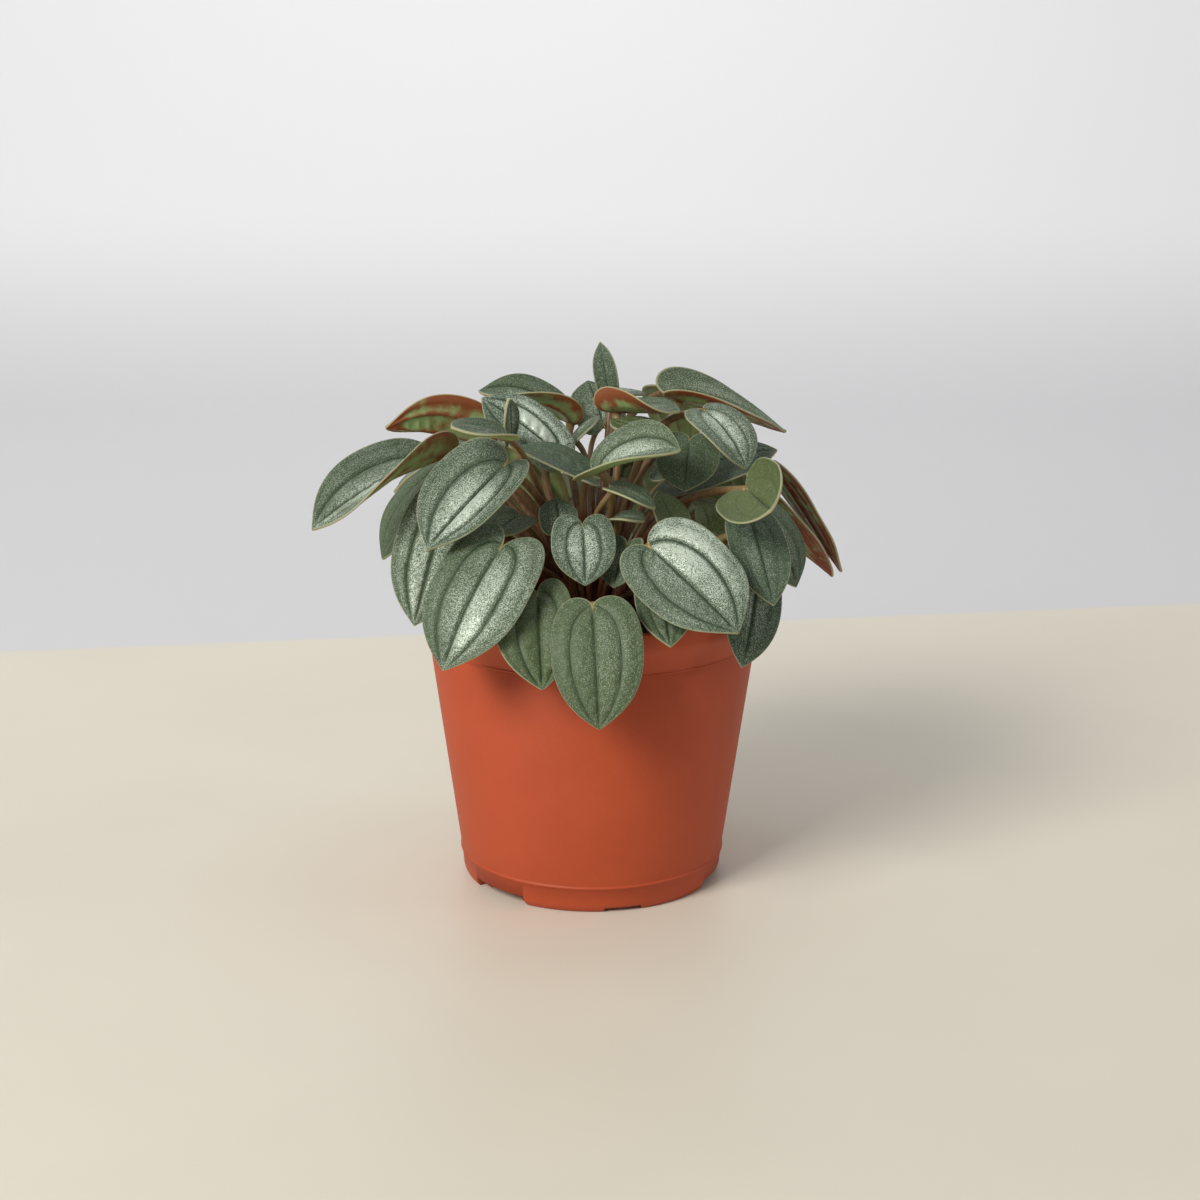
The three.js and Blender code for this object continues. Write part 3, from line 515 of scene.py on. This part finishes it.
# Hanging over the back, and some standing behind the middle.
leaf("leaf_back_1", (-1, 45, 114), (3, 66, 93), 28, roll=2, arch=40, cup=10,
     stalk=(0.7, 0.2, 0.35, -2), silver=0.6)
leaf("leaf_back_2", (29, 33, 120), (45, 51, 102), 27, roll=-21, arch=40, cup=5,
     stalk=(0.6, 0.2, 0.05, 4), silver=0.55)
leaf("leaf_back_3", (-33, 47, 121), (-61, 65, 108), 27, roll=-17, arch=40, cup=5,
     stalk=(0.6, 0.25, 0.3, 14), silver=0.6)
leaf("leaf_back_4", (40, 21, 107), (60, 41, 85), 26, arch=40, cup=5, stalk=(0.6, 0.3, 0.05, 0),
     silver=0.5)
leaf("leaf_back_5", (-38, 36, 127), (-63, 37, 111), 24, arch=40, cup=10, stalk=(0.6, 0.05, 0.3, 4),
     silver=0.55, blush=0.6)
leaf("leaf_back_6", (11, 50, 100), (18, 67, 68), 26, arch=40, cup=-8, silver=0.5)
leaf("leaf_back_7", (-13, 49, 104), (-21, 65, 72), 26, arch=40, cup=-8, stalk=(0.6, 0.05, 0.2, -14),
     silver=0.5)
leaf("leaf_back_8", (36, 38, 96), (50, 52, 66), 26, arch=40, cup=-8, silver=0.5)
leaf("leaf_back_9", (-37, 32, 104), (-49, 46, 76), 24, arch=40, cup=-8, silver=0.5)
leaf("leaf_back_10", (45, 12, 104), (54, 23, 90), 17, roll=-3, arch=40, cup=-5,
     stalk=(0.6, 0.1, 0.15, 0), silver=0.4)
leaf("leaf_back_11", (-44, 19, 110), (-56, 27, 95), 20, arch=40, cup=-5, stalk=(0.7, 0.15, 0.15, -1),
     silver=0.4)
leaf("leaf_back_12", (14, 43, 120), (19, 68, 95), 22, roll=-17, arch=30, cup=10,
     stalk=(0.6, 0.05, 0.25, 4), silver=0.5)
leaf("leaf_back_13", (-21, 23, 125), (-17, 29, 96), 24, roll=-2, arch=40, cup=5,
     stalk=(0.6, 0.15, 0.05, 1), silver=0.2, warm=0.2)
leaf("leaf_back_14", (30, 36, 110), (42, 55, 89), 22, roll=-4, arch=40, cup=5,
     stalk=(0.5, 0.05, 0.15, -3), silver=0.2, warm=0.2)
leaf("leaf_back_15", (23, 49, 142), (30, 65, 118), 18, roll=-14, arch=40, cup=10,
     stalk=(0.6, 0.5, 0.05, 8), silver=0.3)

# ---- Crown and leaf stalks ----
# A short woody stub stands in the soil, and every leaf grows from it on a round, fleshy stalk,
# red-brown at its root and more olive towards the leaf, 2 to 3 mm thick.

STALK_SIDES, STALK_STEPS = 12, 26
ROOT_HEIGHT = 80.0
YOUNG_RADIUS, FULL_RADIUS = 0.85, 1.18


def stalk_tube(form):
    """A round tube carried along a cubic curve from the crown to the notch: the place is the
    curve plus radius times a turning pair of directions square to it. It swells at both ends."""
    notch, along, face = form["notch"], form["along"], form["face"]
    climb, inwards, turn_up, sway = form["stalk"]
    reach = math.hypot(notch[0], notch[1])
    outwards = np.array((notch[0] / reach, notch[1] / reach, 0))
    sideways = np.array((-outwards[1], outwards[0], 0))
    up = np.array((0, 0, 1.0))
    seat = face * math.cos(form["arch"] / 2) - along * math.sin(form["arch"] / 2)
    seat = seat * math.cos(form["twist"]) + form["across"] * math.sin(form["twist"])
    rise = notch[2] - ROOT_HEIGHT
    root = up * ROOT_HEIGHT + outwards * min(7, 0.15 * reach + 1)
    first = root + up * climb * rise + outwards * 0.12 * reach + sideways * sway
    into = seat * turn_up * rise + outwards * inwards * reach - sideways * sway
    end = notch - seat * 0.35
    s = np.linspace(0, 1, STALK_STEPS)
    centre = bezier([root, first, end - into, end], s)
    course = np.gradient(centre, axis=0)
    course /= np.linalg.norm(course, axis=1, keepdims=True)
    side = sideways - course * (course @ sideways)[:, None]
    side /= np.linalg.norm(side, axis=1, keepdims=True)
    other = np.cross(course, side)
    radius = (YOUNG_RADIUS if form["young"] else FULL_RADIUS) * (1 + 0.3 * (1 - s) ** 3 + 0.22 * s ** 12)
    angle = np.linspace(0, 2 * math.pi, STALK_SIDES, endpoint=False)
    ring = side[:, None] * np.cos(angle)[:, None] + other[:, None] * np.sin(angle)[:, None]
    body = centre[:, None] + radius[:, None, None] * ring
    return np.concatenate([body.reshape(-1, 3), centre[:1], centre[-1:]]), s


def tube_faces(first):
    """Quads between neighbouring rings and a fan at each end, numbered from a first corner."""
    n = np.arange(STALK_STEPS * STALK_SIDES).reshape(STALK_STEPS, STALK_SIDES)
    after = np.roll(n, -1, 1)
    quads = np.stack([n[:-1], after[:-1], after[1:], n[1:]], -1).reshape(-1, 4)
    start, stop = n.size, n.size + 1
    low = np.stack([np.full(STALK_SIDES, start), after[0], n[0]], -1)
    high = np.stack([np.full(STALK_SIDES, stop), n[-1], after[-1]], -1)
    return (quads + first).tolist() + (low + first).tolist() + (high + first).tolist()


def crown_stub():
    """A stub turned about the upright axis, its sides dented by waves round it."""
    profile = np.array([(8.3, 70), (8.5, 76), (8.2, 80.5), (7.2, 83.6), (4.6, 86), (2.2, 86.8)])
    turn, row = np.meshgrid(np.arange(0, 360, 6), np.arange(len(profile)), indexing="ij")
    angle = np.radians(turn)
    r = profile[row, 0] * (1 - 0.05 * (1 + np.sin(5 * angle + row)) / 2)
    points = np.stack([r * np.cos(angle), r * np.sin(angle), profile[row, 1]], -1)
    return turned_shell(points, (0, 0, 70), (0, 0, 86.9))


def share_of(tree, name):
    """The piece's own share of a finish, kept on its corners."""
    return put(tree, "ShaderNodeAttribute", attribute_name=name).outputs["Fac"]


def stalk_flesh():
    """Waxy flesh, red-brown at the root and olive at the leaf, with fine lengthwise streaks."""
    material, tree, shader = new_finish("stalk_flesh")
    blotch = ramp(tree, grain(tree, 150, 3, 0.6), 0.3, 0.7, -0.25, 0.25)
    share = maths(tree, "ADD", share_of(tree, "climb"), blotch, clamp=True)
    share = ramp(tree, share, 0.1, 0.95)
    colour = blend_colours(tree, share, (0.125, 0.038, 0.015), (0.21, 0.145, 0.055))
    streak = ramp(tree, grain(tree, 1500, 2, 0.5, (1, 1, 0.12)), 0.40, 0.66, 0, 0.35)
    colour = blend_colours(tree, streak, colour, (0.34, 0.19, 0.09))
    tree.links.new(colour, shader.inputs["Base Color"])
    shader.inputs["Roughness"].default_value = 0.42
    shader.inputs["Subsurface Weight"].default_value = 0.12
    shader.inputs["Subsurface Radius"].default_value = (0.002, 0.0008, 0.0004)
    bump = put(tree, "ShaderNodeBump", {"Height": streak, "Strength": 0.2, "Distance": 0.0003})
    tree.links.new(bump.outputs[0], shader.inputs["Normal"])
    return material


stub_points, stub_faces = crown_stub()
stalk_points, stalk_faces, climbs = [stub_points], stub_faces, [np.zeros(len(stub_points))]
filled = len(stub_points)
for form in leaves:
    tube, s = stalk_tube(form)
    stalk_points.append(tube)
    stalk_faces += tube_faces(filled)
    climbs.append(np.concatenate([np.repeat(s, STALK_SIDES), [0, 1]]))
    filled += len(tube)
stalks = surface_mesh("crown_and_stalks", np.concatenate(stalk_points) * mm, stalk_faces, [stalk_flesh()])
stalks.data.attributes.new("climb", "FLOAT", "POINT").data.foreach_set("value", np.concatenate(climbs))
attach(stalks, "root")
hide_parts("crown")

# ---- Leaf blades ----
# Thick, firm blades with a quilted upper face: the midrib and two pairs of long curved veins are
# sunk into it, and the skin between them is silver-green with fine glittering grains. The silver is
# painted denser round one place on each blade, a painted highlight, and thinner in the soft band
# beside each vein, partly the leaf's own and partly painted shade in the furrows.

VEIN_PLACES = (0.0, 0.54, 0.86)
VEIN_DEPTHS = (0.50, 0.38, 0.06)
VEIN_DARKNESS = (1.0, 0.90, 0.22)
PANEL_HEIGHTS = (0.62, 0.40, 0.05)
FURROW_WIDTH, PUCKER_LENGTH, PUCKER_HEIGHT, WAVE_HEIGHT = 0.55, 4.4, 0.62, 0.22


def blade_middle(form, t, v):
    """The blade's middle layer and its upward direction, for t from notch 0 to tip 1 and v from
    one margin -1 to the other 1. The midrib is a circular arc; across it each half is an arc of
    the cup angle, deepened towards the notch by the funnel angle and tipped up by the fold, and
    the whole blade turns about its midrib by the twist, more and more towards the notch."""
    half, arch, length = form["half"], form["arch"], form["length"]
    edge = outline(t, form["lobe"])
    u = v * edge[..., 0] * (1 + form["lop"] * v)
    g = (1 - np.abs(v)) * t + np.abs(v) * edge[..., 1]
    curve = arch / length
    lean = arch / 2 - arch * g
    deep = form["cup"] + form["funnel"] * np.clip(1 - g, 0, 1.3) ** 2
    deep = np.where(np.abs(deep) < 1e-3, 1e-3, deep)
    soft = np.sqrt(u * u + 0.01)
    side = np.sin(deep * u) / deep * half * math.cos(form["fold"])
    rise = ((1 - np.cos(deep * u)) / deep + (soft - 0.1) * math.sin(form["fold"])) * half
    lean, side, rise = lean[..., None], side[..., None], rise[..., None]
    up = form["face"] * np.cos(lean) - form["along"] * np.sin(lean)
    turn = (form["twist"] * np.clip(1 - g, 0, 1.2))[..., None]
    across = form["across"] * np.cos(turn) - up * np.sin(turn)
    up = up * np.cos(turn) + form["across"] * np.sin(turn)
    point = form["notch"] + form["along"] * (math.sin(arch / 2) - np.sin(lean)) / curve
    point = point + form["face"] * (np.cos(lean) - math.cos(arch / 2)) / curve
    point = point + up * rise + across * side
    tilt = (deep * u + form["fold"] * u / soft)[..., None]
    return point, up * np.cos(tilt) - across * np.sin(tilt), edge[..., 0] * half, g * length


def relief(form, v, reach, run, shift):
    """How far the skin stands up, in mm. A furrow at each vein falls off as the square of the
    distance over its width. A half sine wave domes each panel between veins. Puckers beside the
    midrib are the size of a sine of the run, slanted outwards, and of uneven strength. The margin
    waves slowly. reach is the blade's half width there and run the way from the notch, in mm."""
    calm = np.clip(reach / 4, 0, 1)
    places = np.array(VEIN_PLACES + (1.0,))
    panel = np.clip(np.searchsorted(places, np.abs(v), side="right") - 1, 0, 2)
    share = (np.abs(v) - places[panel]) / (places[panel + 1] - places[panel])
    height = np.array(PANEL_HEIGHTS)[panel] * np.sin(math.pi * np.clip(share, 0, 1)) * reach / 13
    height = height * (0.3 + 0.7 * form["grown"])
    for place, depth in zip(VEIN_PLACES, VEIN_DEPTHS):
        apart = (np.abs(v) - place) * reach
        depth = depth * (1 if place == 0 else form["grown"])
        height = height - depth * np.exp(-((apart / FURROW_WIDTH) ** 2))
    slant = run - 0.55 * np.abs(v) * reach
    phase = 0.9 * np.sin(run / 5.1 + shift[0])
    puffs = np.abs(np.sin(math.pi * slant / PUCKER_LENGTH + phase + shift[1]))
    uneven = 0.55 + 0.45 * np.sin(run / 4.3 + shift[3] + 2 * np.sign(v))
    beside = np.exp(-(((np.abs(v) - 0.20) / 0.13) ** 2))
    height = height + PUCKER_HEIGHT * uneven * (puffs - 0.6) * beside
    wave = np.sin(run / 3.6 + shift[2] + np.sign(v) * shift[3]) * np.abs(v) ** 4
    return calm * (height + WAVE_HEIGHT * wave) * (0.6 if form["young"] else 1)


def blade_mesh(form, finishes):
    """Upper and under faces on one grid of t by v that share their margin, notch and tip. The
    thickness is 1.2 mm in the middle and 0.7 mm near the margin, which is rounded off."""
    rows, columns = (45, 41) if form["young"] else (117, 61)
    s = np.linspace(0, 1, rows)
    t = s - 0.6 * np.sin(2 * math.pi * s) / (2 * math.pi)
    rim = np.array([0.968, 0.982, 0.992, 0.998, 1.0])
    inner = np.linspace(-0.95, 0.95, columns - 10)
    v = np.concatenate([-rim[::-1], inner, rim])
    shift = np.random.default_rng(int(abs(form["notch"] @ (7, 11, 13)))).uniform(0, 6.28, 4)
    tt, vv = np.meshgrid(t, v, indexing="ij")
    middle, up, reach, run = blade_middle(form, tt, vv)
    thick = (1.2 - 0.5 * vv ** 2) / 2
    thick = thick * np.sqrt(1 - np.clip((np.abs(vv) - 0.955) / 0.045, 0, 1) ** 2)
    thick = thick * np.sqrt(1 - (1 - np.clip(tt / 0.03, 0, 1)) ** 2)
    thick = thick * np.sqrt(1 - (1 - np.clip((1 - tt) / 0.025, 0, 1)) ** 2)
    stand = relief(form, vv, reach, run, shift)
    upper = middle + up * (thick + stand)[..., None]
    under = middle + up * (stand * 0.8 - thick)[..., None]
    n = np.arange(rows * columns).reshape(rows, columns)
    n[0], n[-1] = n[0, 0], n[-1, 0]
    m = n + rows * columns
    m[0], m[-1], m[:, 0], m[:, -1] = n[0], n[-1], n[:, 0], n[:, -1]

    def skin(k, flip):
        """Quads of one face between its first and last rows, and a fan at each end."""
        quads = np.stack([k[1:-2, :-1], k[1:-2, 1:], k[2:-1, 1:], k[2:-1, :-1]], -1).reshape(-1, 4)
        start = np.stack([k[0, 1:], k[1, 1:], k[1, :-1]], -1)
        stop = np.stack([k[-2, :-1], k[-2, 1:], k[-1, 1:]], -1)
        parts = [quads, start, stop]
        return [part[:, ::-1] if flip else part for part in parts]

    mid_v = (vv[1, 1:] + vv[1, :-1]) / 2
    ribs = np.stack([vv, tt], -1)
    corner = [ribs[1:-2, :-1], ribs[1:-2, 1:], ribs[2:-1, 1:], ribs[2:-1, :-1]]
    quad_uv = np.stack(corner, 2).reshape(-1, 4, 2)
    start_uv = np.stack([np.stack([mid_v, 0 * mid_v], -1), ribs[1, 1:], ribs[1, :-1]], 1)
    stop_uv = np.stack([ribs[-2, :-1], ribs[-2, 1:], np.stack([mid_v, 0 * mid_v + 1], -1)], 1)
    used = np.unique(np.concatenate([n, m]))
    compact = np.zeros(2 * rows * columns, int)
    compact[used] = np.arange(len(used))
    top, bottom = skin(n, False), skin(m, True)
    faces = sum([compact[part].tolist() for part in top + bottom], [])
    points = np.concatenate([upper.reshape(-1, 3), under.reshape(-1, 3)])[used] * mm
    blade = surface_mesh("blade_" + form["name"], points, faces, finishes)
    mesh = blade.data
    upper_count = sum(len(part) for part in top)
    mesh.polygons.foreach_set("material_index", (np.arange(len(faces)) >= upper_count).astype(int))
    pieces = [quad_uv, start_uv, stop_uv]
    flat = np.concatenate([p.reshape(-1) for p in pieces + [p[:, ::-1] for p in pieces]])
    mesh.uv_layers.new(name="ribs").data.foreach_set("uv", flat)
    both = np.concatenate([np.stack([reach, run], -1).reshape(-1, 2)] * 2)[used]
    shares = {"reach": both[:, 0], "run": both[:, 1]}
    for key in ("warm", "blush", "grown"):
        shares[key] = np.full(len(used), form[key])
    # Painted highlight: each blade's silver share is raised round one place on it, standing for the light
    # that falls there, on top of the leaf's own silver.
    beside, ahead = form["painted_highlight"]
    silver_and_highlight = np.exp(-(((vv - beside) / 0.55) ** 2) - ((tt - ahead) / 0.40) ** 2)
    silver = form["silver"] * (0.36 + 0.86 * silver_and_highlight)
    shares["silver"] = np.concatenate([silver.reshape(-1)] * 2)[used]
    for key, values in shares.items():
        mesh.attributes.new(key, "FLOAT", "POINT").data.foreach_set("value", values.astype(np.float32))
    return blade


def vein_lines(tree, width):
    """Shares from 0 to 1 of the blade's layout: on a vein of that width in mm, in the soft band
    beside one and on the margin, then how far a spot is from the midrib and how far along from
    the notch. Small blades have finer veins than large ones."""
    ribs = put(tree, "ShaderNodeUVMap", uv_map="ribs").outputs[0]
    place = put(tree, "ShaderNodeSeparateXYZ", {0: ribs}).outputs
    reach = share_of(tree, "reach")
    aside = maths(tree, "ABSOLUTE", place["X"])
    wander = maths(tree, "MULTIPLY", maths(tree, "SUBTRACT", grain(tree, 130, 1), 0.5), 0.07)
    bent = maths(tree, "ADD", aside, wander)
    spread = maths(tree, "ADD", maths(tree, "MULTIPLY", reach, 0.5), 6.5)
    grown = share_of(tree, "grown")
    line, band = None, None
    for at, strength in zip(VEIN_PLACES, VEIN_DARKNESS):
        apart = maths(tree, "ABSOLUTE", maths(tree, "SUBTRACT", aside if at == 0 else bent, at))
        apart = maths(tree, "MULTIPLY", apart, spread)
        near = ramp(tree, apart, width * 0.15, width, strength, 0)
        beside = ramp(tree, apart, 0.1, 1.5, strength, 0)
        if at > 0:
            near = maths(tree, "MULTIPLY", near, grown)
            beside = maths(tree, "MULTIPLY", beside, grown)
        line = near if line is None else maths(tree, "MAXIMUM", line, near)
        band = beside if band is None else maths(tree, "MAXIMUM", band, beside)
    fade = ramp(tree, place["Y"], 0.86, 0.99, 1, 0.15)
    line, band = maths(tree, "MULTIPLY", line, fade), maths(tree, "MULTIPLY", band, fade)
    inwards = maths(tree, "MULTIPLY", maths(tree, "SUBTRACT", 1.0, aside), reach)
    margin = ramp(tree, inwards, 0.06, 0.32, 1, 0)
    return line, band, margin, aside, place["Y"]


def silver_skin():
    """Upper face: dark green under a glittering layer of silver grains, which is thin near the notch
    and in the soft band beside each vein, partly as painted shade in the vein furrows. The silver is
    densest round each blade's painted highlight. The margin is pale and the notch itself is yellowish."""
    material, tree, shader = new_finish("silver_skin")
    line, band, margin, _, along = vein_lines(tree, 0.38)
    silver, warm = share_of(tree, "silver"), share_of(tree, "warm")
    patch = ramp(tree, grain(tree, 90, 3, 0.5), 0.30, 0.70, 0.70, 1.08)
    # The silver share carries each leaf's own silver and its painted highlight.
    silver_and_highlight = maths(tree, "MULTIPLY", silver, patch)
    # Less silver in the soft band beside each vein: partly the leaf's own, partly painted shade in the
    # vein furrows.
    silver_and_highlight = maths(tree, "MULTIPLY", silver_and_highlight, ramp(tree, band, 0, 1, 1.08, 0.32))
    silver_and_highlight = maths(tree, "MULTIPLY", silver_and_highlight, ramp(tree, along, 0.02, 0.24, 0.6, 1))
    speck = maths(tree, "ADD", grain(tree, 3200, 1.5, 0.6), maths(tree, "MULTIPLY", silver_and_highlight, 0.20))
    speck = ramp(tree, speck, 0.52, 0.72)
    layer = maths(tree, "MULTIPLY", ramp(tree, silver_and_highlight, 0, 1, 0.30, 0.98), speck)
    green = blend_colours(tree, warm, (0.049, 0.086, 0.046), (0.096, 0.130, 0.038))
    green = blend_colours(tree, ramp(tree, silver_and_highlight, 0.2, 1, 0, 0.30), green, (0.18, 0.28, 0.17))
    colour = blend_colours(tree, layer, green, (0.65, 0.725, 0.605))
    dark_line = maths(tree, "MULTIPLY", line, 0.85)
    colour = blend_colours(tree, dark_line, colour, (0.016, 0.034, 0.018))
    colour = blend_colours(tree, maths(tree, "MULTIPLY", margin, 0.62), colour, (0.47, 0.46, 0.29))
    colour = blend_colours(tree, ramp(tree, along, 0.02, 0.07, 0.8, 0), colour, (0.50, 0.36, 0.10))
    tree.links.new(colour, shader.inputs["Base Color"])
    shader.inputs["Specular IOR Level"].default_value = 0.36
    tree.links.new(maths(tree, "MULTIPLY", layer, 0.22), shader.inputs["Metallic"])
    tree.links.new(ramp(tree, layer, 0, 1, 0.48, 0.43), shader.inputs["Roughness"])
    hills = {"Height": grain(tree, 420, 3), "Strength": 0.6, "Distance": 0.0010}
    hills = put(tree, "ShaderNodeBump", hills).outputs[0]
    grains = {"Height": speck, "Strength": 0.5, "Distance": 0.00018, "Normal": hills}
    tree.links.new(put(tree, "ShaderNodeBump", grains).outputs[0], shader.inputs["Normal"])
    return material


def red_underside():
    """Under face: pale green, flushed red-brown along the veins, towards the margin and both ends,
    and in blotches."""
    material, tree, shader = new_finish("red_underside")
    line, band, margin, aside, along = vein_lines(tree, 0.9)
    blush = share_of(tree, "blush")
    edge = ramp(tree, aside, 0.62, 0.98, 0, 0.45)
    off_middle = maths(tree, "ABSOLUTE", maths(tree, "SUBTRACT", along, 0.5))
    ends = ramp(tree, off_middle, 0.22, 0.5, 0, 0.5)
    blotch = ramp(tree, grain(tree, 115, 4, 0.6), 0.28, 0.72, -0.24, 0.52)
    flush = maths(tree, "ADD", maths(tree, "MULTIPLY", band, 0.36), blotch)
    flush = maths(tree, "ADD", flush, maths(tree, "ADD", edge, ends))
    flush = maths(tree, "MULTIPLY", flush, maths(tree, "MULTIPLY", blush, 1.5))
    flush = ramp(tree, flush, -0.05, 0.90)
    colour = blend_colours(tree, flush, (0.29, 0.41, 0.16), (0.25, 0.069, 0.020))
    colour = blend_colours(tree, maths(tree, "MULTIPLY", line, 0.26), colour, (0.10, 0.030, 0.012))
    colour = blend_colours(tree, maths(tree, "MULTIPLY", margin, 0.65), colour, (0.45, 0.46, 0.25))
    tree.links.new(colour, shader.inputs["Base Color"])
    shader.inputs["Roughness"].default_value = 0.5
    pores = {"Height": grain(tree, 1500, 3), "Strength": 0.3, "Distance": 0.0003}
    tree.links.new(put(tree, "ShaderNodeBump", pores).outputs[0], shader.inputs["Normal"])
    return material


leaf_finishes = [silver_skin(), red_underside()]
for form in leaves:
    blade = blade_mesh(form, leaf_finishes)
    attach(blade, "root")
    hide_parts(form["name"])
